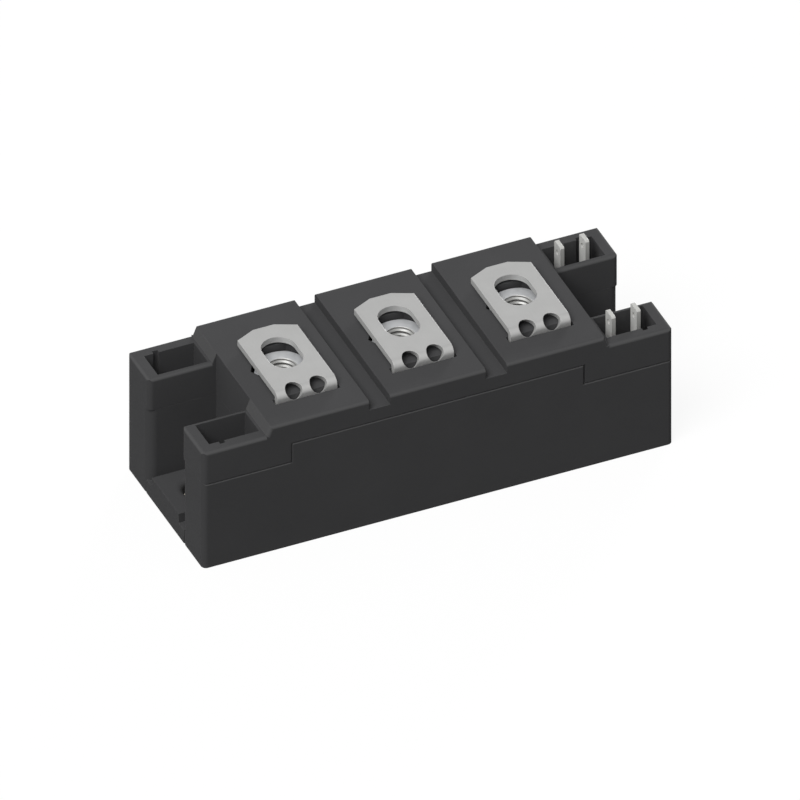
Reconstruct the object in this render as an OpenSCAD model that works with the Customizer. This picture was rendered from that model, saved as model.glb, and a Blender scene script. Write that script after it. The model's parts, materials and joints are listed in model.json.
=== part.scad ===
// Thyristor module: a moulded housing on a metal base plate, three screw terminals on its deck
// and flat gate pins in the two plug towers at one end.
// +X runs along the module towards the gate pins, the terminals bend down on the -Y side, +Z is up.
// The origin is at the middle of the base plate's underside. Sizes are in millimetres.

/* [Housing] */
// Length of the housing
housing_l = 94; // [92:0.5:104]
// Width of the housing
housing_w = 34; // [33:0.5:40]
// Height of the deck under the terminals
deck_z = 28.4; // [28:0.1:32]
// Height of the four plug towers
tower_z = 26.4; // [25:0.1:27.5]
// Thickness of the long side walls
side_wall_t = 2; // [1.6:0.1:2.3]
// Thickness of the wall between a mounting recess and the inside
end_wall_t = 1.6; // [1.2:0.1:2]
// Thickness of the deck under its grooves
roof_t = 2; // [1.6:0.1:2.2]
// Round of the housing's upright corners
corner_r = 1; // [0.5:0.1:1.2]
// Round of the frame's upright corners beside the recesses
frame_recess_r = 1.7; // [0.8:0.1:2]
// Round of the cover's top edges
edge_r = 0.7; // [0.4:0.05:0.8]

/* [Joint between frame and cover] */
// Height of the joint at the towers
joint_low_z = 19.3; // [17:0.1:21]
// Height of the joint along the middle of the sides
joint_high_z = 23.5; // [22.5:0.1:24]
// Distance from the deck's end to the step in the joint
joint_step_inset = 4; // [2:0.1:8]
// Chamfer on the frame's edge along the joint
joint_chamfer = 0.4; // [0.1:0.05:0.5]
// Depth that the cover's locating ribs reach into the frame
locating_depth = 2; // [1:0.1:3]
// Thickness of the locating ribs
locating_t = 1.2; // [0.8:0.1:2]
// Gap between a locating rib and the frame's wall
locating_gap = 0.1; // [0.05:0.05:0.3]

/* [Deck grooves] */
// Width of a groove
groove_w = 4.2; // [3:0.1:5]
// Depth of a groove
groove_depth = 2.1; // [1:0.1:2.3]
// Slope at the foot of the deck's ends, beside the towers
deck_slope = 0.8; // [0.4:0.05:1]

/* [Mounting recesses] */
// Width of a recess
recess_w = 15; // [14:0.5:16]
// Length of a recess
recess_l = 13.6; // [12.5:0.1:14]
// Distance from the housing's end to the middle of a mounting hole
hole_inset = 7; // [6:0.1:8]
// Diameter of a mounting hole
hole_d = 6.4; // [5.4:0.1:7]
// Round of the hole's mouth
hole_mouth_r = 1.25; // [0.5:0.05:1.8]
// Width of the raised pad round the hole
pad_w = 12; // [11:0.5:13.5]
// Height of the pad
pad_z = 5.2; // [4.6:0.1:6]
// Height of the ledge beside the pad
ledge_z = 3.1; // [2.9:0.1:4]

/* [Plug pockets] */
// Length of a pocket
pocket_l = 10; // [9:0.1:10.4]
// Thickness of the rib between a pocket and the recess
rib_t = 0.9; // [0.85:0.05:1.4]
// Thickness of a tower's side wall
tower_side_t = 2.35; // [2:0.05:2.8]
// Thickness of a tower's end wall
tower_end_t = 2.25; // [1.8:0.05:2.6]
// Height of a pocket's floor
pocket_floor_z = 14; // [12.5:0.1:16]
// Thickness of a pocket's floor
pocket_floor_t = 2; // [1.5:0.1:2.4]
// Width of the key notch in a pocket's outer wall
key_w = 1.1; // [0.8:0.1:2]
// Depth of the key notch
key_depth = 0.7; // [0.4:0.05:1]
// Distance from the pocket's end to the notch
key_inset = 1.9; // [0.8:0.1:3]

/* [Base plate] */
// Thickness of the base plate
base_t = 2.5; // [2:0.1:2.7]
// Width of the frame's skirt round the base plate
base_skirt = 1.5; // [1.2:0.1:2]
// Distance that the base plate stands out below the frame
base_proud = 0.1; // [0.05:0.05:0.4]
// Round of the base plate's corners
base_corner_r = 2; // [0.5:0.5:4]
// Gap between the base plate's edge and the frame
base_gap = 0.1; // [0.05:0.05:0.3]

/* [Terminals] */
// Distance from the deck's end to the middle of an outer terminal's slot
terminal_inset = 10.05; // [9.8:0.05:10.4]
// Clear height between the deck and a terminal
terminal_lift = 0.7; // [0.4:0.05:1]
// Width of a terminal
terminal_w = 12; // [11:0.1:13]
// Thickness of the terminal strip
terminal_t = 1.2; // [0.8:0.1:1.5]
// Distance from the middle line to the terminal's free end
terminal_back = 9.05; // [8.5:0.05:11]
// Distance from the middle line to the face of the bent leg
terminal_front = 10.75; // [10.5:0.05:11.5]
// Inner radius of the bends
bend_r = 0.3; // [0.3:0.1:0.8]
// Length along X of the chamfers on the free end
tip_chamfer_x = 3.9; // [1:0.1:5]
// Length along Y of the chamfers on the free end
tip_chamfer_y = 1.8; // [0.5:0.1:3]
// Width of the slotted screw hole
screw_slot_w = 6.6; // [6.2:0.1:7.4]
// Place of the slotted screw hole's front round, seen along Y
screw_slot_y = -0.85; // [-1.5:0.05:0]
// Length of the slotted screw hole
screw_slot_l = 9.6; // [8.5:0.1:12]
// Diameter of the two relief holes in the bend
relief_d = 3.3; // [2:0.1:4]
// Distance between the relief holes
relief_pitch = 4.9; // [4.3:0.1:6]
// Distance from the leg's face to the place where a relief hole's slanting axis meets the terminal's top
relief_inset = 0.2; // [0:0.05:0.5]
// Length of the soldered foot inside, from the leg's face
foot_l = 5; // [3.5:0.1:6]
// Gap between the leg's sides and the ends of its slot in the deck
leg_end_gap = 0.5; // [0.2:0.1:0.8]
// Gap in front of the leg in its slot
leg_face_gap = 0.35; // [0.1:0.05:0.5]
// Gap behind the leg in its slot
leg_back_gap = 0.1; // [0.05:0.05:0.3]

/* [Terminal nuts] */
// Distance that the outer nuts lie outside their terminals' slots
nut_spread = 0.2; // [0:0.05:0.4]
// Distance across the flats of a nut
nut_af = 10; // [9.5:0.1:10.6]
// Height of a nut
nut_h = 5; // [4:0.1:5.5]
// Diameter of the nut's bore
nut_bore_d = 5; // [4:0.1:5.4]
// Chamfer at the mouths of the nut's bore
nut_mouth = 0.3; // [0.1:0.1:0.6]
// Distance from the deck down to the top of a nut
nut_drop = 1; // [0.8:0.1:2]
// Gap across the flats between a nut and its pocket
nut_gap = 1.1; // [0.4:0.05:1.2]
// Wall round a nut pocket and its screw well, below the deck
boss_wall = 1.4; // [1:0.1:1.6]
// Diameter of the screw well below a nut
well_d = 6.8; // [6.2:0.1:7.4]
// Depth of the screw well below a nut
well_depth = 6; // [4:0.5:8]

/* [Gate pins] */
// Width of a pin
pin_w = 2.8; // [2.4:0.1:3.2]
// Thickness of a pin
pin_t = 0.8; // [0.5:0.1:1]
// Distance between the two pins of a tower
pin_pitch = 5; // [4.5:0.1:5.5]
// Distance that the pins stand off the middle of their pocket, towards the deck
pin_shift_x = 0.2; // [0:0.05:0.4]
// Distance that the pins stand off the middle of their pocket, towards +Y
pin_shift_y = 0.25; // [0:0.05:0.4]
// Height of the pins' tips
pin_tip_z = 29; // [27:0.1:31]
// Chamfer at the corners of a pin's tip
pin_tip_chamfer = 0.25; // [0.1:0.05:0.8]
// Diameter of the detent hole in a pin
pin_hole_d = 1.1; // [0.6:0.1:1.4]
// Distance from the tip to the detent hole
pin_hole_drop = 1.9; // [1.4:0.1:3]
// Width of the shoulder that seats a pin under the pocket's floor
pin_shoulder_w = 4.2; // [3.6:0.1:5]
// Height of the shoulder
pin_shoulder_h = 1; // [0.6:0.1:1.5]
// Width of a pin's tail
pin_tail_w = 1.2; // [1.2:0.1:1.6]
// Gap between a pin and its slot
pin_gap = 0.05; // [0.02:0.01:0.1]

/* [Circuit] */
// Gap between the ceramic substrate and the walls round it
ceramic_gap = 1; // [0.5:0.1:1.3]
// Thickness of the ceramic
ceramic_t = 0.65; // [0.4:0.05:1]
// Thickness of the copper on both sides of the ceramic
copper_t = 0.3; // [0.2:0.05:0.5]
// Bare edge of the ceramic round the copper
copper_margin = 0.7; // [0.5:0.05:0.9]
// Gap between two copper tracks
track_gap = 1.2; // [0.8:0.1:1.5]
// Distance from a terminal's slot to its chip, towards -X
chip_shift = 2.85; // [2.4:0.05:3.2]
// Place of both chips across the module
chip_y = 3.5; // [3:0.1:4]
// Room between the two square chips
chip_room = 10.35; // [9.9:0.05:10.8]
// Thickness of a chip
chip_t = 0.4; // [0.3:0.05:0.6]
// Thickness of a cathode clip
clip_t = 0.8; // [0.5:0.1:1]
// Width of a cathode clip
clip_w = 6; // [4:0.1:7]
// Distance from the chip's edge to the clip's pad
clip_inset = 2.5; // [2.3:0.1:3.5]
// Distance from the clip's pad to the middle of the gap between two tracks
clip_reach = 4.8; // [4.4:0.1:5]
// Length of the clip's foot on the next track
clip_foot_l = 3; // [2.5:0.1:3.4]
// Height of the clip's bridge over the tracks
clip_rise = 2; // [1.5:0.1:2.4]
// Diameter of a gate lead
lead_d = 1.2; // [0.8:0.1:1.2]
// Height of the gate leads
gate_lead_z = 8.4; // [8.2:0.1:9]
// Height of the cathode leads
cathode_lead_z = 6.2; // [6:0.1:6.6]
// Height of the insulating gel
gel_z = 10.2; // [9.8:0.1:10.8]

/* [Hidden] */
$fn = 64;
// Length that a cut runs past the face it opens
past = 1;

half_l = housing_l / 2;
half_w = housing_w / 2;
recess_end_x = half_l - recess_l;
inside_x = recess_end_x - end_wall_t;
inside_y = half_w - side_wall_t;
groove_z = deck_z - groove_depth;
roof_z = groove_z - roof_t;
step_x = recess_end_x - joint_step_inset;
hole_x = half_l - hole_inset;
deck_end_lean = atan2(deck_slope, deck_z - tower_z);
deck_end_l = norm([deck_slope, deck_z - tower_z]);

pocket_x1 = half_l - tower_end_t;
pocket_x0 = pocket_x1 - pocket_l;
pocket_y0 = recess_w / 2 + rib_t;
pocket_y1 = half_w - tower_side_t;
pocket_x = (pocket_x0 + pocket_x1) / 2;
pocket_y = (pocket_y0 + pocket_y1) / 2;
tower_roof_z = pocket_floor_z - pocket_floor_t;
key_x = pocket_x1 - key_inset - key_w / 2;

base_l = housing_l - 2 * base_skirt;
base_w = housing_w - 2 * base_skirt;

bend_outer_r = bend_r + terminal_t;
terminal_top_z = deck_z + terminal_lift + terminal_t;
leg_slot_back = terminal_front - terminal_t - leg_back_gap;
terminal_pitch = recess_end_x - terminal_inset;
leg_slot_places = [-terminal_pitch, 0, terminal_pitch];

nut_top_z = deck_z - nut_drop;
nut_floor_z = nut_top_z - nut_h;
nut_pitch = terminal_pitch + nut_spread;
nut_places = [-nut_pitch, 0, nut_pitch];
nut_corner_r = nut_af / sqrt(3);
nut_pocket_r = (nut_af + nut_gap) / sqrt(3);
well_floor_z = nut_floor_z - well_depth;

back_copper_z = base_t;
ceramic_z = back_copper_z + copper_t;
track_z = ceramic_z + ceramic_t;
track_top_z = track_z + copper_t;
chip_top_z = track_top_z + chip_t;
clip_top_z = chip_top_z + clip_t;
ceramic_l = 2 * (inside_x - ceramic_gap);
ceramic_w = 2 * (inside_y - ceramic_gap);
copper_l = ceramic_l - 2 * copper_margin;
copper_w = ceramic_w - 2 * copper_margin;
chip_l = terminal_pitch - chip_room;
chip_x = terminal_pitch - chip_shift;
clip_chip_l = chip_l - 2 * clip_inset;
clip_chip_x0 = chip_x - clip_chip_l / 2;
track_break_x = clip_chip_x0 - clip_reach;
clip_bridge_x = track_break_x - track_gap / 2 - clip_foot_l;
lead_turn_x = (terminal_pitch + terminal_w / 2 + inside_x) / 2;
gate_offset = chip_l / 2 - 1.5;

plastic = [0.22, 0.22, 0.225];
nickel = [0.72, 0.71, 0.68];
tinned = [0.70, 0.70, 0.71];
copper = [0.78, 0.46, 0.30];

// Shared shapes

// A box between two corners
module block(low, high) {
    translate(low)
        cube(high - low);
}

// What a round of radius r takes off a square corner at the origin whose body lies to +x and +y
module corner_waste(r) {
    difference() {
        translate([-past, -past])
            square(r + past);
        translate([r, r])
            circle(r);
    }
}

// The waste of a rounded corner at a place, with the body lying towards the signs in side
module corner_cut(place, side, r) {
    translate(place)
        rotate(side.x > 0 ? (side.y > 0 ? 0 : 270) : (side.y > 0 ? 90 : 180))
            corner_waste(r);
}

// A profile drawn in Y and Z, run along X
module along_x(x0, x1) {
    translate([x0, 0, 0])
        rotate([90, 0, 90])
            linear_extrude(x1 - x0)
                children();
}

// A profile drawn in X and Z, run along Y
module along_y(y0, y1) {
    translate([0, y1, 0])
        rotate([90, 0, 0])
            linear_extrude(y1 - y0)
                children();
}

// The housing seen from above, with a recess at each end
module housing_plan(outer_r, recess_r) {
    difference() {
        square([housing_l, housing_w], center = true);
        for (sx = [-1, 1]) {
            translate([sx * (half_l - (recess_l - past) / 2), 0])
                square([recess_l + past, recess_w], center = true);
            for (sy = [-1, 1]) {
                corner_cut([sx * half_l, sy * half_w], [-sx, -sy], outer_r);
                corner_cut([sx * half_l, sy * recess_w / 2], [-sx, sy], recess_r);
            }
        }
    }
}

// A rectangle with rounded corners
module rounded_plate(l, w, r) {
    difference() {
        square([l, w], center = true);
        for (sx = [-1, 1], sy = [-1, 1])
            corner_cut([sx * l / 2, sy * w / 2], [-sx, -sy], r);
    }
}

// Draws its children in each tower: they are written for the tower at +X and +Y
module each_tower() {
    for (sx = [0, 1], sy = [0, 1])
        mirror([sx, 0, 0])
            mirror([0, sy, 0])
                children();
}

module mounting_holes(z0, z1) {
    for (sx = [-1, 1])
        translate([sx * hole_x, 0, z0])
            cylinder(d = hole_d, h = z1 - z0);
}

// Housing

module base_plate() {
    color(nickel)
        difference() {
            linear_extrude(base_t)
                rounded_plate(base_l, base_w, base_corner_r);
            mounting_holes(-past, base_t + past);
        }
}

// The frame's inside: the chamber over the base plate and the spaces under the pocket floors
module frame_chamber(z0, z1) {
    block([-inside_x, -inside_y, z0], [inside_x, inside_y, z1]);
    each_tower()
        block([inside_x - past, pocket_y0, z0], [pocket_x1, inside_y, min(z1, tower_roof_z)]);
}

// The edge that the frame shows along the joint: a chamfer on both long sides, up the steps too
module joint_chamfers() {
    for (sy = [0, 1])
        mirror([0, sy, 0]) {
            along_x(-step_x - past, step_x + past)
                joint_chamfer_profile(joint_high_z);
            for (sx = [0, 1])
                mirror([sx, 0, 0]) {
                    along_x(step_x, half_l + past)
                        joint_chamfer_profile(joint_low_z);
                    translate([0, 0, joint_low_z - joint_chamfer])
                        linear_extrude(joint_high_z - joint_low_z + past)
                            rotate(90)
                                mirror([0, 1])
                                    joint_chamfer_profile(step_x);
                }
        }
}

// The chamfer's waste on a long side, where the edge lies at a height, or at a distance along X
module joint_chamfer_profile(edge) {
    polygon([
        [-half_w - past, edge - joint_chamfer - past],
        [-half_w - past, edge],
        [-half_w + joint_chamfer, edge],
        [-half_w, edge - joint_chamfer],
    ]);
}

// A floor across both recesses, with the raised pad round each mounting hole
module recess_floors() {
    for (sx = [0, 1])
        mirror([sx, 0, 0]) {
            block([recess_end_x - end_wall_t, -pocket_y0, base_proud], [half_l, pocket_y0, ledge_z]);
            block([recess_end_x - end_wall_t, -pad_w / 2, base_proud], [half_l, pad_w / 2, pad_z]);
        }
}

module pin_slots() {
    for (side = [-1, 1], tower = [-1, 1])
        translate([pin_x(side), pin_y(tower), pocket_floor_z - pocket_floor_t / 2])
            cube([pin_t + 2 * pin_gap, pin_w + 2 * pin_gap, pocket_floor_t + 2 * past], center = true);
}

module plug_pockets(z0, z1) {
    each_tower() {
        block([pocket_x0, pocket_y0, z0], [pocket_x1, pocket_y1, z1]);
        translate([key_x, pocket_y1, (z0 + z1) / 2])
            cube([key_w, 2 * key_depth, z1 - z0], center = true);
    }
}

module housing_frame() {
    color(plastic)
        difference() {
            union() {
                translate([0, 0, base_proud])
                    linear_extrude(joint_low_z - base_proud)
                        housing_plan(corner_r, frame_recess_r);
                block([-step_x, -half_w, joint_low_z - past], [step_x, half_w, joint_high_z]);
                recess_floors();
            }
            linear_extrude(base_t)
                rounded_plate(base_l + 2 * base_gap, base_w + 2 * base_gap, base_corner_r + base_gap);
            frame_chamber(base_t - past / 2, joint_high_z + past);
            plug_pockets(pocket_floor_z, joint_low_z + past);
            pin_slots();
            mounting_holes(0, pad_z + past);
            for (sx = [-1, 1])
                translate([sx * hole_x, 0, 0])
                    rotate_extrude()
                        corner_cut([hole_d / 2, pad_z], [1, -1], hole_mouth_r);
            joint_chamfers();
        }
}

// The cover's outside, before its edges are rounded
module cover_outside() {
    difference() {
        union() {
            translate([0, 0, joint_low_z])
                linear_extrude(tower_z - joint_low_z)
                    housing_plan(corner_r, corner_r);
            block([-recess_end_x, -half_w, joint_low_z], [recess_end_x, half_w, deck_z]);
            each_tower()
                along_y(recess_w / 2, half_w)
                    polygon([
                        [recess_end_x - past, tower_z - past],
                        [recess_end_x + deck_slope, tower_z - past],
                        [recess_end_x + deck_slope, tower_z],
                        [recess_end_x, deck_z],
                        [recess_end_x - past, deck_z],
                    ]);
        }
        block([-step_x, -half_w - past, joint_low_z - past], [step_x, half_w + past, joint_high_z]);
        block([-inside_x, -inside_y, joint_low_z - past], [inside_x, inside_y, roof_z]);
    }
}

module cover_edge_rounds() {
    for (s = [0, 1])
        mirror([0, s, 0])
            along_x(-recess_end_x, recess_end_x)
                corner_cut([half_w, deck_z], [-1, -1], edge_r);
    each_tower() {
        along_x(recess_end_x + deck_slope, half_l + past)
            corner_cut([half_w, tower_z], [-1, -1], edge_r);
        along_x(recess_end_x + deck_slope, half_l + past)
            corner_cut([recess_w / 2, tower_z], [1, -1], edge_r);
        along_y(recess_w / 2 - past, half_w + past)
            corner_cut([half_l, tower_z], [-1, -1], edge_r);
        translate([recess_end_x + deck_slope, half_w, tower_z])
            rotate([0, -deck_end_lean, 0])
                linear_extrude(deck_end_l + past)
                    corner_cut([0, 0], [-1, -1], edge_r);
    }
}

// A nut pocket's boss under the deck, with the screw well below it
module nut_boss() {
    translate([0, 0, nut_floor_z - boss_wall])
        cylinder(r = nut_pocket_r + boss_wall, h = roof_z + past / 2 - nut_floor_z + boss_wall);
    translate([0, 0, well_floor_z - boss_wall])
        cylinder(r = well_d / 2 + boss_wall, h = well_depth);
}

module nut_pocket() {
    translate([0, 0, nut_floor_z])
        cylinder(r = nut_pocket_r, h = deck_z - nut_floor_z + past, $fn = 6);
    translate([0, 0, well_floor_z])
        cylinder(d = well_d, h = well_depth + past);
}

module leg_slot() {
    half = terminal_w / 2 + leg_end_gap;
    block([-half, -terminal_front - leg_face_gap, roof_z - past], [half, -leg_slot_back, deck_z + past]);
}

module locating_ribs() {
    y1 = inside_y - locating_gap;
    x1 = step_x - locating_t;
    for (s = [0, 1])
        mirror([0, s, 0])
            block([-x1, y1 - locating_t, joint_high_z - locating_depth], [x1, y1, roof_z + past / 2]);
}

module housing_cover() {
    color(plastic)
        difference() {
            union() {
                cover_outside();
                locating_ribs();
                for (x = nut_places)
                    translate([x, 0, 0])
                        nut_boss();
            }
            plug_pockets(joint_low_z - past, deck_z + past);
            for (x = nut_places)
                translate([x, 0, 0])
                    nut_pocket();
            for (x = leg_slot_places)
                translate([x, 0, 0])
                    leg_slot();
            for (sx = [-1, 1])
                translate([sx * terminal_pitch / 2, 0, groove_z + deck_z / 2])
                    cube([groove_w, housing_w + 2 * past, deck_z], center = true);
            cover_edge_rounds();
        }
}

// Terminals

// A quarter of a bent strip: it turns about the origin from +y round to -x
module bend() {
    intersection() {
        difference() {
            circle(bend_outer_r);
            circle(bend_r);
        }
        translate([-2 * bend_outer_r, 0])
            square(2 * bend_outer_r);
    }
}

// The strip from the side: the plate over the deck, the leg and the soldered foot
module terminal_profile() {
    bend_y = -terminal_front + bend_outer_r;
    top_bend_z = terminal_top_z - bend_outer_r;
    foot_bend_z = track_top_z + bend_outer_r;
    translate([bend_y, terminal_top_z - terminal_t])
        square([terminal_back - bend_y, terminal_t]);
    translate([bend_y, top_bend_z])
        bend();
    translate([-terminal_front, foot_bend_z])
        square([terminal_t, top_bend_z - foot_bend_z]);
    translate([bend_y, foot_bend_z])
        rotate(90)
            bend();
    translate([bend_y, track_top_z])
        square([foot_l - bend_outer_r, terminal_t]);
}

module screw_slot() {
    y1 = screw_slot_y + screw_slot_l - screw_slot_w;
    for (y = [screw_slot_y, y1])
        translate([0, y, deck_z])
            cylinder(d = screw_slot_w, h = terminal_top_z - deck_z + past);
    block([-screw_slot_w / 2, screw_slot_y, deck_z], [screw_slot_w / 2, y1, terminal_top_z + past]);
}

// A relief hole slants through the bend, from its outer corner to its inner one
module relief_hole() {
    translate([0, -terminal_front + relief_inset, terminal_top_z])
        rotate([45, 0, 0])
            cylinder(d = relief_d, h = 2 * terminal_t * sqrt(2) + relief_d + 2 * past, center = true);
}

module tip_chamfers() {
    for (s = [0, 1])
        mirror([s, 0, 0])
            translate([0, 0, deck_z])
                linear_extrude(terminal_top_z - deck_z + past)
                    polygon([
                        [terminal_w / 2 - tip_chamfer_x, terminal_back],
                        [terminal_w / 2, terminal_back - tip_chamfer_y],
                        [terminal_w / 2 + past, terminal_back - tip_chamfer_y],
                        [terminal_w / 2 + past, terminal_back + past],
                        [terminal_w / 2 - tip_chamfer_x, terminal_back + past],
                    ]);
}

module terminal(slot_x) {
    color(tinned)
        translate([slot_x, 0, 0])
            difference() {
                along_x(-terminal_w / 2, terminal_w / 2)
                    terminal_profile();
                screw_slot();
                for (side = [-1, 1])
                    translate([side * relief_pitch / 2, 0, 0])
                        relief_hole();
                tip_chamfers();
            }
}

// The outside of a nut is a hexagon whose corners are turned down to a cone at both ends
module nut() {
    cone = nut_corner_r - nut_af / 2;
    difference() {
        intersection() {
            cylinder(r = nut_corner_r, h = nut_h, $fn = 6);
            rotate_extrude()
                polygon([
                    [0, 0],
                    [nut_af / 2, 0],
                    [nut_corner_r + cone, 2 * cone / sqrt(3)],
                    [nut_corner_r + cone, nut_h - 2 * cone / sqrt(3)],
                    [nut_af / 2, nut_h],
                    [0, nut_h],
                ]);
        }
        translate([0, 0, -past])
            cylinder(d = nut_bore_d, h = nut_h + 2 * past);
        for (z = [0, nut_h])
            translate([0, 0, z])
                rotate_extrude()
                    polygon([
                        [0, -nut_mouth],
                        [nut_bore_d / 2, -nut_mouth],
                        [nut_bore_d / 2 + nut_mouth, 0],
                        [nut_bore_d / 2, nut_mouth],
                        [0, nut_mouth],
                    ]);
    }
}

module terminal_nuts() {
    color(nickel)
        for (x = nut_places)
            translate([x, 0, nut_floor_z])
                nut();
}

// Gate pins and leads

// A pin seen from its wide side: blade, shoulder under the floor, and tail down to its lead
module pin_profile(tail_z) {
    shoulder_z = tower_roof_z - pin_shoulder_h;
    half = [
        [pin_tail_w / 2, tail_z],
        [pin_tail_w / 2, shoulder_z],
        [pin_shoulder_w / 2, shoulder_z],
        [pin_shoulder_w / 2, tower_roof_z],
        [pin_w / 2, tower_roof_z],
        [pin_w / 2, pin_tip_z - pin_tip_chamfer],
        [pin_w / 2 - pin_tip_chamfer, pin_tip_z],
    ];
    other_half = [for (i = [len(half) - 1 : -1 : 0]) [-half[i].x, half[i].y]];
    polygon(concat(half, other_half));
}

// Place of a pin: side is -1 for the pin nearer the deck, tower is -1 for the tower at -Y
function pin_x(side) = pocket_x - pin_shift_x + side * pin_pitch / 2;
function pin_y(tower) = tower * pocket_y + pin_shift_y;

module pin(side, tower, lead_z) {
    x = pin_x(side);
    color(tinned)
        translate([0, pin_y(tower), 0])
            difference() {
                along_x(x - pin_t / 2, x + pin_t / 2)
                    pin_profile(lead_z - lead_d / 2);
                translate([x - past, 0, pin_tip_z - pin_hole_drop])
                    rotate([0, 90, 0])
                        cylinder(d = pin_hole_d, h = 2 * past);
            }
}

// A wire from point to point, with round elbows
module wire(points) {
    for (i = [0 : len(points) - 2]) {
        run = points[i + 1] - points[i];
        length = norm(run);
        translate(points[i])
            rotate([0, acos(run.z / length), atan2(run.y, run.x)])
                cylinder(d = lead_d, h = length);
    }
    for (i = [1 : len(points) - 2])
        translate(points[i])
            sphere(d = lead_d);
}

// A lead leaves its pin's tail, turns in at lead_turn_x or beyond and drops on its contact
module lead(side, tower, z, turn_x, contact) {
    y = pin_y(tower);
    color(plastic)
        wire([
            [pin_x(side) - pin_t / 2, y, z],
            [turn_x, y, z],
            [turn_x, contact.y, z],
            [contact.x, contact.y, z],
            contact,
        ]);
}

// Circuit on the base plate

module copper_sheet(x0, x1, z) {
    block([x0, -copper_w / 2, z], [x1, copper_w / 2, z + copper_t]);
}

module track(x0, x1) {
    color(copper)
        copper_sheet(x0, x1, track_z);
}

module thyristor_chip(x) {
    color([0.35, 0.36, 0.4])
        translate([x, chip_y, track_top_z + chip_t / 2])
            cube([chip_l, chip_l, chip_t], center = true);
}

// A clip lies on its chip, rises over the gap between two tracks and lands on the next one
module cathode_clip(shift) {
    x0 = clip_bridge_x;
    x1 = clip_chip_x0;
    high = clip_top_z + clip_rise;
    color(copper)
        translate([shift, 0, 0])
            along_y(chip_y - clip_w / 2, chip_y + clip_w / 2)
                polygon([
                    [x0, track_top_z],
                    [x0 + clip_foot_l, track_top_z],
                    [x0 + clip_foot_l, high - clip_t],
                    [x1, high - clip_t],
                    [x1, chip_top_z],
                    [x1 + clip_chip_l, chip_top_z],
                    [x1 + clip_chip_l, clip_top_z],
                    [x1 + clip_t, clip_top_z],
                    [x1 + clip_t, high],
                    [x0 + clip_foot_l - clip_t, high],
                    [x0 + clip_foot_l - clip_t, track_top_z + clip_t],
                    [x0, track_top_z + clip_t],
                ]);
}

module gate_lead_front() {
    contact = [chip_x + gate_offset, chip_y - gate_offset, chip_top_z];
    lead(-1, -1, gate_lead_z, lead_turn_x, contact);
}

module cathode_lead_front() {
    contact = [chip_x + clip_chip_l / 4, chip_y - clip_w / 4, clip_top_z];
    lead(1, -1, cathode_lead_z, lead_turn_x, contact);
}

module gate_lead_rear() {
    contact = [chip_x - terminal_pitch + gate_offset, chip_y + gate_offset, chip_top_z];
    lead(-1, 1, gate_lead_z, contact.x + lead_d, contact);
}

module cathode_lead_rear() {
    contact = [chip_x - terminal_pitch + clip_chip_l / 4, chip_y + clip_w / 4, clip_top_z];
    lead(1, 1, cathode_lead_z, contact.x + lead_d, contact);
}

module circuit_and_leads() {
    terminal_left();
    terminal_middle();
    terminal_right();
    gate_pin_front();
    cathode_pin_front();
    gate_pin_rear();
    cathode_pin_rear();
    substrate_back_copper();
    substrate_ceramic();
    track_left();
    track_middle();
    track_right();
    thyristor_chip_middle();
    thyristor_chip_right();
    cathode_clip_middle();
    cathode_clip_right();
    gate_lead_front();
    cathode_lead_front();
    gate_lead_rear();
    cathode_lead_rear();
}

// The gel fills the chamber up to its level, round everything that stands in it
module insulating_gel() {
    color([0.85, 0.85, 0.8])
        difference() {
            frame_chamber(base_t, gel_z);
            circuit_and_leads();
        }
}

module terminal_left() terminal(leg_slot_places[0]);
module terminal_middle() terminal(leg_slot_places[1]);
module terminal_right() terminal(leg_slot_places[2]);
module gate_pin_front() pin(-1, -1, gate_lead_z);
module cathode_pin_front() pin(1, -1, cathode_lead_z);
module gate_pin_rear() pin(-1, 1, gate_lead_z);
module cathode_pin_rear() pin(1, 1, cathode_lead_z);
module substrate_back_copper() color(copper) copper_sheet(-copper_l / 2, copper_l / 2, back_copper_z);
module substrate_ceramic()
    color("ivory")
        block([-ceramic_l / 2, -ceramic_w / 2, ceramic_z], [ceramic_l / 2, ceramic_w / 2, track_z]);
module track_left() track(-copper_l / 2, track_break_x - terminal_pitch - track_gap / 2);
module track_middle() track(track_break_x - terminal_pitch + track_gap / 2, track_break_x - track_gap / 2);
module track_right() track(track_break_x + track_gap / 2, copper_l / 2);
module thyristor_chip_middle() thyristor_chip(chip_x - terminal_pitch);
module thyristor_chip_right() thyristor_chip(chip_x);
module cathode_clip_middle() cathode_clip(-terminal_pitch);
module cathode_clip_right() cathode_clip(0);

base_plate();
housing_frame();
housing_cover();
terminal_left();
terminal_middle();
terminal_right();
terminal_nuts();
gate_pin_front();
cathode_pin_front();
gate_pin_rear();
cathode_pin_rear();
substrate_back_copper();
substrate_ceramic();
track_left();
track_middle();
track_right();
thyristor_chip_middle();
thyristor_chip_right();
cathode_clip_middle();
cathode_clip_right();
gate_lead_front();
cathode_lead_front();
gate_lead_rear();
cathode_lead_rear();
insulating_gel();
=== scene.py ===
import json
import math

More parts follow.
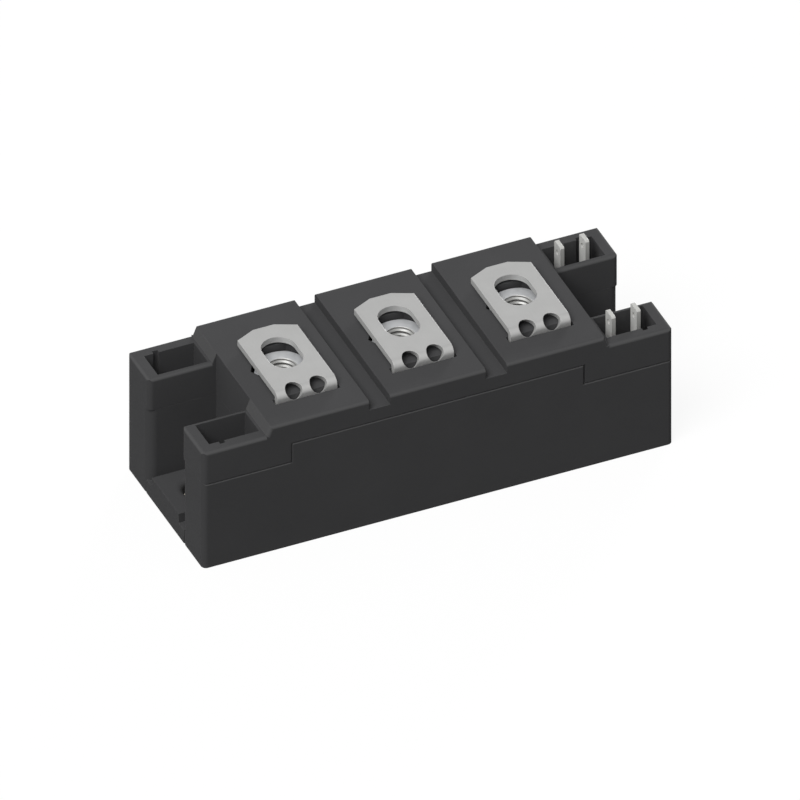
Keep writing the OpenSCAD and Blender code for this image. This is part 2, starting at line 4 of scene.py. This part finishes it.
import bmesh
import bpy
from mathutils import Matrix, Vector


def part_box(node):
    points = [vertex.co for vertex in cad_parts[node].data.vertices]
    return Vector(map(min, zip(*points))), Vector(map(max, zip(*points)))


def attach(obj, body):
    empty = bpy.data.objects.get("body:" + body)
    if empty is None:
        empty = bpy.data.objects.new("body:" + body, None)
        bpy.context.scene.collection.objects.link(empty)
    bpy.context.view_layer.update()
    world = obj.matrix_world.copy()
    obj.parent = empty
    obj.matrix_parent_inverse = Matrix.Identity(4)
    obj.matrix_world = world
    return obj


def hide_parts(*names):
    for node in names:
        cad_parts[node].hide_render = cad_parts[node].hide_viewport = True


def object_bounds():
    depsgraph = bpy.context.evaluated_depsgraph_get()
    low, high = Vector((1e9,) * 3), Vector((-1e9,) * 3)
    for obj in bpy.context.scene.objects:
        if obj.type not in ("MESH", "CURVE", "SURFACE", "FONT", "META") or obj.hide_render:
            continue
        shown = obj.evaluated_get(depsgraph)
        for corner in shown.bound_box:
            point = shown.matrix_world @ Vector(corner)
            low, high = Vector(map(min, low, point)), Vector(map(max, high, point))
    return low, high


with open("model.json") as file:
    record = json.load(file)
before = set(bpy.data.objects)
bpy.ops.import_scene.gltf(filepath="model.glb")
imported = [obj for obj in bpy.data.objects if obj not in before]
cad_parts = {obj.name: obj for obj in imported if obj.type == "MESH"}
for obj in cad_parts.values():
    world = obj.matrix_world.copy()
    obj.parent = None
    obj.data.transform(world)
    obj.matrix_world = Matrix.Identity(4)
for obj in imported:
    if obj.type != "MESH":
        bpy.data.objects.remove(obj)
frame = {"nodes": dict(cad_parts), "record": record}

cad_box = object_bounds()
scene = bpy.context.scene
scene.view_settings.view_transform = "Standard"

MM = 0.001

# The photograph's parallel view: its side and scale in pixels, and where it shows the origin
PICTURE_PX = 800
PX_PER_MM = 5.4732
ORIGIN_PX = (400.25, 455.55)
VIEW_AZIMUTH = math.radians(-24)
VIEW_ELEVATION = math.radians(37)
CAMERA_DISTANCE = 600 * MM
NEAREST_SEEN = 10 * MM
FARTHEST_SEEN = 20000 * MM

# Light: a large key lamp from the upper left, a low fill lamp from behind, and a weak light all round
LAMP_DISTANCE = 3000 * MM
KEY_DIRECTION = Vector((-0.48, -0.35, 0.805))
KEY_SIDE = 1800 * MM
KEY_WATTS = 80.0
FILL_DIRECTION = Vector((0.70, 0.70, 0.14))
FILL_SIDE = 800 * MM
FILL_WATTS = 48.0
AMBIENT = 0.24

# Floor: its own grey takes the shadow, and its glow makes it look white
WHITE = "#ffffff"
FLOOR_GREY = "#5e5e5e"
FLOOR_GLOW = 0.90
FLOOR_SIDE = 6000 * MM

# Patterns: the range that most of a noise lies in, the rays that soften an edge, and leaning() at its most
NOISE_LOW = 0.3
NOISE_HIGH = 0.7
EDGE_RAYS = 6
MOST_LEAN = 0.25

# Terminal nuts: a coarse M6 thread, drawn shallower than the real one so that it ends inside the mouth.
# The half width of its crest and the width of its flank are shares of the pitch.
THREAD_PITCH = 1.0 * MM
THREAD_DEPTH = 0.3 * MM
CREST_HALF = 0.05
FLANK = 1 / 3
BORE_R = 2.5 * MM
NUT_CORNERS = 6
NUT_STEPS = 96
ROWS_PER_TURN = 24
CHAMFER_CIRCLE = 0.98
CHAMFER_SLOPE = math.tan(math.radians(30))
SHARP_ANGLE = math.radians(28)
TOLERANCE = 0.1 * MM


# Shared helpers

def linear(hex_colour):
    """An sRGB hex colour as linear red, green, blue and alpha."""
    values = [int(hex_colour[i:i + 2], 16) / 255 for i in (1, 3, 5)]
    return [v / 12.92 if v <= 0.04045 else ((v + 0.055) / 1.055) ** 2.4 for v in values] + [1]


def per(size_mm):
    """The texture scale at which a pattern repeats about once in a size given in millimetres."""
    return 1 / (size_mm * MM)


def node(tree, kind, inputs=None, **settings):
    """Adds a node with its settings, and gives each named or numbered input a value or a link.

    A link comes from a socket or a node's first output. Sockets that the settings turn off don't count.
    """
    made = tree.nodes.new(kind)
    for name, value in settings.items():
        setattr(made, name, value)
    in_use = [socket for socket in made.inputs if socket.enabled]
    names = [socket.name for socket in in_use]
    for key, value in (inputs or {}).items():
        target = in_use[key if isinstance(key, int) else names.index(key)]
        if isinstance(value, bpy.types.Node):
            value = next(socket for socket in value.outputs if socket.enabled)
        if isinstance(value, bpy.types.NodeSocket):
            tree.links.new(value, target)
        else:
            target.default_value = value
    return made


def new_material(name):
    """A material with an empty node tree."""
    material = bpy.data.materials.new(name)
    material.use_nodes = True
    material.node_tree.nodes.clear()
    return material, material.node_tree


def leaning(tree, normal):
    """How far faces lean: the normal's height times the rest of 1, so 0 on level and upright faces."""
    height = node(tree, "ShaderNodeSeparateXYZ", {"Vector": normal}).outputs["Z"]
    rest = node(tree, "ShaderNodeMath", {0: 1.0, 1: height}, operation="SUBTRACT")
    return node(tree, "ShaderNodeMath", {0: height, 1: rest}, operation="MULTIPLY")


def sideways(tree, normal):
    """How squarely faces look along X, to either side."""
    across = node(tree, "ShaderNodeSeparateXYZ", {"Vector": normal}).outputs["X"]
    return node(tree, "ShaderNodeMath", {0: across}, operation="ABSOLUTE")


def mottled(name, patch_mm, colours, roughnesses, finish):
    """A material that one soft pattern varies in colour and roughness; finish has other shader values."""
    material, tree = new_material(name)
    place = node(tree, "ShaderNodeTexCoord").outputs["Object"]
    patches = node(tree, "ShaderNodeTexNoise", {"Vector": place, "Scale": per(patch_mm), "Detail": 3.0})
    colour = node(tree, "ShaderNodeMix",
                  {"Factor": patches, "A": linear(colours[0]), "B": linear(colours[1])}, data_type="RGBA")
    roughness = node(tree, "ShaderNodeMapRange",
                     {"Value": patches, "From Min": NOISE_LOW, "From Max": NOISE_HIGH,
                      "To Min": roughnesses[0], "To Max": roughnesses[1]})
    shader = node(tree, "ShaderNodeBsdfPrincipled",
                  {"Base Color": colour, "Roughness": roughness, **finish})
    node(tree, "ShaderNodeOutputMaterial", {"Surface": shader})
    return material


# Materials

def moulded_polyester():
    """Glass-filled polyester from a finely eroded mould: matt dark grey, a bit cloudy, paler at edges as
    wear and painted highlight, and paler on rounds and chamfers as painted highlight.
    """
    material, tree = new_material("moulded_polyester")
    place = node(tree, "ShaderNodeTexCoord").outputs["Object"]
    face = node(tree, "ShaderNodeNewGeometry").outputs["True Normal"]
    cloud = node(tree, "ShaderNodeTexNoise", {"Vector": place, "Scale": per(11), "Detail": 3.0})
    body = node(tree, "ShaderNodeMix",
                {"Factor": cloud, "A": linear("#454546"), "B": linear("#4b4b4c")}, data_type="RGBA")
    # A sharp edge is where the softened normal turns from the face's own, fully at about 22 degrees.
    soft = node(tree, "ShaderNodeBevel", {"Radius": 0.12 * MM}, samples=EDGE_RAYS)
    turn = node(tree, "ShaderNodeVectorMath", {0: soft, 1: face}, operation="DOT_PRODUCT")
    edge = node(tree, "ShaderNodeMapRange", {"Value": turn, "From Min": 0.99, "From Max": 0.93})
    # Rubbing comes and goes along it; the pale edge is partly wear and partly painted highlight.
    rubbing = node(tree, "ShaderNodeTexNoise", {"Vector": place, "Scale": per(3), "Detail": 2.0})
    patches = node(tree, "ShaderNodeMapRange",
                   {"Value": rubbing, "From Min": 0.35, "From Max": 0.65, "To Min": 0.05, "To Max": 0.35})
    edge_wear_and_highlight = node(tree, "ShaderNodeMath", {0: edge, 1: patches}, operation="MULTIPLY")
    # Upper rounds and chamfers are painted paler evenly, as painted highlight.
    painted_highlight_rounds = node(tree, "ShaderNodeMapRange",
                  {"Value": leaning(tree, face), "From Max": MOST_LEAN, "To Max": 0.30})
    wear_and_painted_highlight = node(tree, "ShaderNodeMath", {0: edge_wear_and_highlight, 1: painted_highlight_rounds}, operation="MAXIMUM")
    # The pale grey carries the edge wear and the painted highlight.
    colour = node(tree, "ShaderNodeMix",
                  {"Factor": wear_and_painted_highlight, "A": body, "B": linear("#6c6c6c")}, data_type="RGBA")
    # The mould's grain is about 0.1 mm; it is drawn at 0.35 mm so that it shows.
    grain = node(tree, "ShaderNodeTexNoise", {"Vector": place, "Scale": per(0.35), "Detail": 2.0})
    roughness = node(tree, "ShaderNodeMapRange",
                     {"Value": grain, "From Min": NOISE_LOW, "From Max": NOISE_HIGH,
                      "To Min": 0.70, "To Max": 0.82})
    bump = node(tree, "ShaderNodeBump",
                {"Height": grain, "Distance": 0.04 * MM, "Strength": 0.22, "Normal": soft})
    shader = node(tree, "ShaderNodeBsdfPrincipled",
                  {"Base Color": colour, "Roughness": roughness, "IOR": 1.56,
                   "Specular IOR Level": 0.05, "Normal": bump})
    node(tree, "ShaderNodeOutputMaterial", {"Surface": shader})
    return material


def tinned_strip():
    """Rolled copper strip with matt tin: pale satin grey with rolling lines, and sides and bends painted
    paler as painted light.
    """
    material, tree = new_material("tinned_strip")
    place = node(tree, "ShaderNodeTexCoord").outputs["Object"]
    face = node(tree, "ShaderNodeNewGeometry").outputs["True Normal"]
    cloud = node(tree, "ShaderNodeTexNoise", {"Vector": place, "Scale": per(4), "Detail": 3.0})
    rolled = node(tree, "ShaderNodeMix",
                  {"Factor": cloud, "A": linear("#a6a6a5"), "B": linear("#b1b1b0")}, data_type="RGBA")
    # Painted light: the sides that face along X, and a bend that leans, are painted paler.
    painted_side_light = node(tree, "ShaderNodeMapRange",
                   {"Value": sideways(tree, face), "From Min": 0.2, "From Max": 0.9, "To Max": 0.6})
    painted_bend_light = node(tree, "ShaderNodeMapRange",
                {"Value": leaning(tree, face), "From Max": MOST_LEAN, "To Max": 0.3})
    painted_strip_light = node(tree, "ShaderNodeMath", {0: painted_side_light, 1: painted_bend_light}, operation="MAXIMUM")
    # The paler grey is painted light on the sides and bends.
    colour = node(tree, "ShaderNodeMix",
                  {"Factor": painted_strip_light, "A": rolled, "B": linear("#d2d2d0")}, data_type="RGBA")
    # Rolling lines are about 0.05 mm apart; they are drawn at 0.3 mm so that they show.
    along = node(tree, "ShaderNodeMapping", {"Vector": place, "Scale": (per(0.3), per(40), per(40))})
    lines = node(tree, "ShaderNodeTexNoise", {"Vector": along, "Scale": 1.0, "Detail": 2.0})
    roughness = node(tree, "ShaderNodeMapRange",
                     {"Value": lines, "From Min": NOISE_LOW, "From Max": NOISE_HIGH,
                      "To Min": 0.44, "To Max": 0.56})
    soft = node(tree, "ShaderNodeBevel", {"Radius": 0.10 * MM}, samples=EDGE_RAYS)
    bump = node(tree, "ShaderNodeBump",
                {"Height": lines, "Distance": 0.01 * MM, "Strength": 0.25, "Normal": soft})
    shader = node(tree, "ShaderNodeBsdfPrincipled",
                  {"Base Color": colour, "Metallic": 0.25, "Roughness": roughness, "Normal": bump})
    node(tree, "ShaderNodeOutputMaterial", {"Surface": shader})
    return material


def zinc_plated_steel():
    """Steel nuts with bright zinc: cool grey satin, with a faint bloom."""
    material, tree = new_material("zinc_plated_steel")
    place = node(tree, "ShaderNodeTexCoord").outputs["Object"]
    bloom = node(tree, "ShaderNodeTexNoise", {"Vector": place, "Scale": per(0.9), "Detail": 3.0})
    colour = node(tree, "ShaderNodeMix",
                  {"Factor": bloom, "A": linear("#cdcfd1"), "B": linear("#d9dadc")}, data_type="RGBA")
    roughness = node(tree, "ShaderNodeMapRange",
                     {"Value": bloom, "From Min": NOISE_LOW, "From Max": NOISE_HIGH,
                      "To Min": 0.48, "To Max": 0.60})
    soft = node(tree, "ShaderNodeBevel", {"Radius": 0.08 * MM}, samples=EDGE_RAYS)
    bump = node(tree, "ShaderNodeBump",
                {"Height": bloom, "Distance": 0.01 * MM, "Strength": 0.2, "Normal": soft})
    shader = node(tree, "ShaderNodeBsdfPrincipled",
                  {"Base Color": colour, "Metallic": 0.45, "Roughness": roughness, "Normal": bump})
    node(tree, "ShaderNodeOutputMaterial", {"Surface": shader})
    return material


def bore_steel_painted_shade():
    """Steel in the nuts' bores: a darker grey than the nuts' faces as painted shade in the hollow, with
    fine cutting marks round the bore.
    """
    material, tree = new_material("bore_steel_painted_shade")
    place = node(tree, "ShaderNodeTexCoord").outputs["Object"]
    # Cutting marks are about 0.02 mm apart; they are drawn at 0.15 mm so that they show.
    round_bore = node(tree, "ShaderNodeMapping", {"Vector": place, "Scale": (per(4), per(4), per(0.15))})
    marks = node(tree, "ShaderNodeTexNoise", {"Vector": round_bore, "Scale": 1.0, "Detail": 2.0})
    # The darker grey is painted shade in the bore.
    colour = node(tree, "ShaderNodeMix",
                  {"Factor": marks, "A": linear("#a4a4a2"), "B": linear("#b2b2b0")}, data_type="RGBA")
    roughness = node(tree, "ShaderNodeMapRange",
                     {"Value": marks, "From Min": NOISE_LOW, "From Max": NOISE_HIGH,
                      "To Min": 0.46, "To Max": 0.60})
    shader = node(tree, "ShaderNodeBsdfPrincipled",
                  {"Base Color": colour, "Metallic": 0.6, "Roughness": roughness})
    node(tree, "ShaderNodeOutputMaterial", {"Surface": shader})
    return material


def tinned_brass():
    """Pins stamped from tinned brass: pale satin grey with drawing lines along them, painted paler on faces
    that look along X and darker on all others, as painted light and shade.
    """
    material, tree = new_material("tinned_brass")
    place = node(tree, "ShaderNodeTexCoord").outputs["Object"]
    face = node(tree, "ShaderNodeNewGeometry").outputs["True Normal"]
    # Drawing lines are about 0.05 mm apart; they are drawn at 0.25 mm so that they show.
    along = node(tree, "ShaderNodeMapping", {"Vector": place, "Scale": (per(0.25), per(0.25), per(30))})
    lines = node(tree, "ShaderNodeTexNoise", {"Vector": along, "Scale": 1.0, "Detail": 2.0})
    lined_painted_light = node(tree, "ShaderNodeMix",
                 {"Factor": lines, "A": linear("#e2e2df"), "B": linear("#ebebe8")}, data_type="RGBA")
    # Painted light and shade: faces that look along X get the paler grey, and all others the darker.
    colour = node(tree, "ShaderNodeMix",
                  {"Factor": sideways(tree, face), "A": linear("#bfbfbc"), "B": lined_painted_light}, data_type="RGBA")
    roughness = node(tree, "ShaderNodeMapRange",
                     {"Value": lines, "From Min": NOISE_LOW, "From Max": NOISE_HIGH,
                      "To Min": 0.44, "To Max": 0.56})
    soft = node(tree, "ShaderNodeBevel", {"Radius": 0.08 * MM}, samples=EDGE_RAYS)
    bump = node(tree, "ShaderNodeBump",
                {"Height": lines, "Distance": 0.01 * MM, "Strength": 0.25, "Normal": soft})
    shader = node(tree, "ShaderNodeBsdfPrincipled",
                  {"Base Color": colour, "Metallic": 0.25, "Roughness": roughness, "Normal": bump})
    node(tree, "ShaderNodeOutputMaterial", {"Surface": shader})
    return material


def nickel_plated_copper():
    """Ground copper plate with nickel: warm pale metal, with lapping lines along it and faint stains."""
    material, tree = new_material("nickel_plated_copper")
    place = node(tree, "ShaderNodeTexCoord").outputs["Object"]
    stain = node(tree, "ShaderNodeTexNoise", {"Vector": place, "Scale": per(14), "Detail": 3.0})
    colour = node(tree, "ShaderNodeMix",
                  {"Factor": stain, "A": linear("#b5aea2"), "B": linear("#c6c1b7")}, data_type="RGBA")
    # Lapping lines are about 0.05 mm apart; they are drawn at 0.4 mm so that they show.
    along = node(tree, "ShaderNodeMapping", {"Vector": place, "Scale": (per(60), per(0.4), per(60))})
    lines = node(tree, "ShaderNodeTexNoise", {"Vector": along, "Scale": 1.0, "Detail": 2.0})
    roughness = node(tree, "ShaderNodeMapRange",
                     {"Value": lines, "From Min": NOISE_LOW, "From Max": NOISE_HIGH,
                      "To Min": 0.30, "To Max": 0.44})
    soft = node(tree, "ShaderNodeBevel", {"Radius": 0.15 * MM}, samples=EDGE_RAYS)
    bump = node(tree, "ShaderNodeBump",
                {"Height": lines, "Distance": 0.01 * MM, "Strength": 0.3, "Normal": soft})
    shader = node(tree, "ShaderNodeBsdfPrincipled",
                  {"Base Color": colour, "Metallic": 1.0, "Roughness": roughness, "Normal": bump})
    node(tree, "ShaderNodeOutputMaterial", {"Surface": shader})
    return material


def bare_copper():
    """Bonded copper sheet: soft orange metal that has dulled in patches."""
    return mottled("bare_copper", 4, ("#a9694b", "#c98763"), (0.45, 0.30), {"Metallic": 1.0})


def fired_alumina():
    """Fired alumina: dense white ceramic with a faint speckle and a dull gloss."""
    return mottled("fired_alumina", 0.4, ("#e4e1d8", "#efede6"), (0.45, 0.60), {"IOR": 1.76})


def metallised_silicon():
    """A silicon chip with its metal film: dark blue-grey and smooth, with a slight haze."""
    return mottled("metallised_silicon", 2, ("#5c6068", "#6c7078"), (0.14, 0.24), {"Metallic": 1.0})


def silicone_rubber():
    """Extruded silicone insulation: even red rubber with a soft, slightly greasy shine."""
    return mottled("silicone_rubber", 0.5, ("#96281f", "#a62f25"), (0.42, 0.55), {"IOR": 1.41})


def silicone_gel():
    """Cured silicone gel: clear and soft, with a faint milkiness."""
    return mottled("silicone_gel", 6, ("#dedfd8", "#eceee8"), (0.08, 0.16),
                   {"IOR": 1.41, "Transmission Weight": 0.85})


SLOT_MATERIALS = {
    "moulded_plastic": moulded_polyester(),
    "tinned_copper": tinned_strip(),
    "zinc_plated_steel": zinc_plated_steel(),
    "tinned_brass": tinned_brass(),
    "nickel_plated_copper": nickel_plated_copper(),
    "bare_copper": bare_copper(),
    "alumina": fired_alumina(),
    "silicon": metallised_silicon(),
    "silicone_insulation": silicone_rubber(),
    "silicone_gel": silicone_gel(),
}

for part in frame["record"]["subparts"]:
    slots = frame["nodes"][part["node"]].data.materials
    slots.clear()
    slots.append(SLOT_MATERIALS[part["material_slot"]])


# Terminal nuts with their threads

def thread_r(angle, height):
    """The bore's radius at an angle and a height: a groove with sloping flanks, a pitch up each turn."""
    turn = (height / THREAD_PITCH - angle / math.tau) % 1
    from_crest = min(turn, 1 - turn) - CREST_HALF
    return BORE_R + THREAD_DEPTH * min(1, max(0, from_crest / FLANK))


def hexagon_r(angle, across_flats):
    """The distance from the middle to a hexagon's side at an angle, with corners on the X axis."""
    side = math.tau / NUT_CORNERS
    return across_flats / 2 / math.cos((angle % side) - side / 2)


def threaded_nut(shape, middle_x, floor, across_flats, height):
    """Spins a ring as high as the nut, then cuts its inside to the thread and its outside to a hexagon."""
    mouth_r = BORE_R + THREAD_DEPTH
    circle_r = CHAMFER_CIRCLE * across_flats / 2
    corner_r = hexagon_r(0, across_flats)
    drop = (corner_r - circle_r) * CHAMFER_SLOPE
    rows = round(height / THREAD_PITCH * ROWS_PER_TURN)
    bore = [(BORE_R, height * row / rows) for row in range(rows + 1)]
    outside = [(circle_r, height), (corner_r, height - drop), (corner_r, drop), (circle_r, 0)]
    profile = [shape.verts.new((r, 0, z)) for r, z in bore + outside]
    edges = [shape.edges.new((profile[i - 1], profile[i])) for i in range(len(profile))]
    bmesh.ops.spin(shape, geom=profile + edges, axis=(0, 0, 1), cent=(0, 0, 0), angle=math.tau,
                   steps=NUT_STEPS, use_merge=True)
    for vert in shape.verts:
        radius = math.hypot(vert.co.x, vert.co.y)
        angle = math.atan2(vert.co.y, vert.co.x)
        if radius < BORE_R + TOLERANCE:
            from_mouth = min(vert.co.z, height - vert.co.z)
            new_r = max(thread_r(angle, vert.co.z), mouth_r - from_mouth)
        elif radius > corner_r - TOLERANCE:
            # The chamfer's cone cuts a flat's middle less than a corner.
            new_r = hexagon_r(angle, across_flats)
            step = drop - (new_r - circle_r) * CHAMFER_SLOPE
            vert.co.z += step if vert.co.z > height / 2 else -step
        else:
            new_r = circle_r
        vert.co.x = new_r * math.cos(angle)
        vert.co.y = new_r * math.sin(angle)
    bmesh.ops.recalc_face_normals(shape, faces=shape.faces)
    for face in shape.faces:
        in_bore = all(math.hypot(vert.co.x, vert.co.y) < mouth_r + TOLERANCE for vert in face.verts)
        face.material_index = 1 if in_bore else 0
    bmesh.ops.translate(shape, verts=shape.verts, vec=(middle_x, 0, floor))


def terminal_nuts():
    """The three nuts, one under each terminal, with turned chamfers and cut threads."""
    low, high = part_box("terminal_nuts")
    across_flats = high.y - low.y
    reach = (high.x - low.x) / 2 - hexagon_r(0, across_flats)
    mesh = bpy.data.meshes.new("threaded_nuts")
    whole = bmesh.new()
    for middle_x in (-reach, 0, reach):
        one = bmesh.new()
        threaded_nut(one, middle_x, low.z, across_flats, high.z - low.z)
        one.to_mesh(mesh)
        one.free()
        whole.from_mesh(mesh)
    whole.to_mesh(mesh)
    whole.free()
    mesh.shade_smooth()
    mesh.set_sharp_from_angle(angle=SHARP_ANGLE)
    mesh.materials.append(SLOT_MATERIALS["zinc_plated_steel"])
    mesh.materials.append(bore_steel_painted_shade())
    piece = bpy.data.objects.new("threaded_nuts", mesh)
    scene.collection.objects.link(piece)
    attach(piece, "root")
    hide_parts("terminal_nuts")


terminal_nuts()


# Floor, light and camera

def seen_directly(tree):
    """1 for what the camera sees straight, reflected or through glass, and 0 for the light on surfaces."""
    path = node(tree, "ShaderNodeLightPath").outputs
    mirrored = node(tree, "ShaderNodeMath",
                    {0: path["Is Camera Ray"], 1: path["Is Glossy Ray"]}, operation="MAXIMUM")
    return node(tree, "ShaderNodeMath",
                {0: mirrored, 1: path["Is Transmission Ray"]}, operation="MAXIMUM")


def white_surroundings():
    """Surroundings that look white, and light the object only weakly."""
    world = bpy.data.worlds.new("studio")
    scene.world = world
    world.use_nodes = True
    tree = world.node_tree
    tree.nodes.clear()
    soft = node(tree, "ShaderNodeBackground", {"Color": linear(WHITE), "Strength": AMBIENT})
    white = node(tree, "ShaderNodeBackground", {"Color": linear(WHITE), "Strength": 1.0})
    mixed = node(tree, "ShaderNodeMixShader", {0: seen_directly(tree), 1: soft, 2: white})
    node(tree, "ShaderNodeOutputWorld", {"Surface": mixed})


def pale_floor():
    """A white floor that takes the object's shadow; it is clear from below."""
    material, tree = new_material("studio_floor")
    matt = node(tree, "ShaderNodeBsdfDiffuse", {"Color": linear(FLOOR_GREY)})
    glow = node(tree, "ShaderNodeMath", {0: seen_directly(tree), 1: FLOOR_GLOW}, operation="MULTIPLY")
    light = node(tree, "ShaderNodeEmission", {"Color": linear(WHITE), "Strength": glow})
    lit = node(tree, "ShaderNodeAddShader", {0: matt, 1: light})
    clear = node(tree, "ShaderNodeBsdfTransparent")
    behind = node(tree, "ShaderNodeNewGeometry").outputs["Backfacing"]
    mixed = node(tree, "ShaderNodeMixShader", {0: behind, 1: lit, 2: clear})
    node(tree, "ShaderNodeOutputMaterial", {"Surface": mixed})
    shape = bmesh.new()
    bmesh.ops.create_grid(shape, x_segments=1, y_segments=1, size=FLOOR_SIDE / 2)
    bmesh.ops.translate(shape, verts=shape.verts, vec=(0, 0, cad_box[0].z))
    mesh = bpy.data.meshes.new("floor")
    shape.to_mesh(mesh)
    shape.free()
    mesh.materials.append(material)
    floor = bpy.data.objects.new("floor", mesh)
    scene.collection.objects.link(floor)


def pointed(direction):
    """The turn that points a lamp or a camera in a direction."""
    return direction.to_track_quat("-Z", "Y").to_euler()


def soft_lamp(name, direction, side, watts):
    """A square lamp that shines on the object from a direction."""
    light = bpy.data.lights.new(name, "AREA")
    light.shape = "SQUARE"
    light.size = side
    light.energy = watts
    lamp = bpy.data.objects.new(name, light)
    lamp.location = direction.normalized() * LAMP_DISTANCE
    lamp.rotation_euler = pointed(-direction)
    scene.collection.objects.link(lamp)


def photo_camera():
    """A parallel view at the photograph's angle, with the origin where the photograph has it."""
    right = Vector((math.cos(VIEW_AZIMUTH), math.sin(VIEW_AZIMUTH), 0))
    back = Vector((math.sin(VIEW_AZIMUTH) * math.cos(VIEW_ELEVATION),
                   -math.cos(VIEW_AZIMUTH) * math.cos(VIEW_ELEVATION),
                   math.sin(VIEW_ELEVATION)))
    up = back.cross(right)
    metres_per_px = MM / PX_PER_MM
    aim = right * (PICTURE_PX / 2 - ORIGIN_PX[0]) * metres_per_px
    aim += up * (ORIGIN_PX[1] - PICTURE_PX / 2) * metres_per_px
    lens = bpy.data.cameras.new("camera")
    lens.type = "ORTHO"
    lens.ortho_scale = PICTURE_PX * metres_per_px
    lens.clip_start = NEAREST_SEEN
    lens.clip_end = FARTHEST_SEEN
    camera = bpy.data.objects.new("camera", lens)
    camera.location = aim + back * CAMERA_DISTANCE
    camera.rotation_euler = pointed(-back)
    scene.collection.objects.link(camera)
    scene.camera = camera


white_surroundings()
pale_floor()
soft_lamp("key", KEY_DIRECTION, KEY_SIDE, KEY_WATTS)
soft_lamp("fill", FILL_DIRECTION, FILL_SIDE, FILL_WATTS)
photo_camera()

bpy.context.view_layer.update()
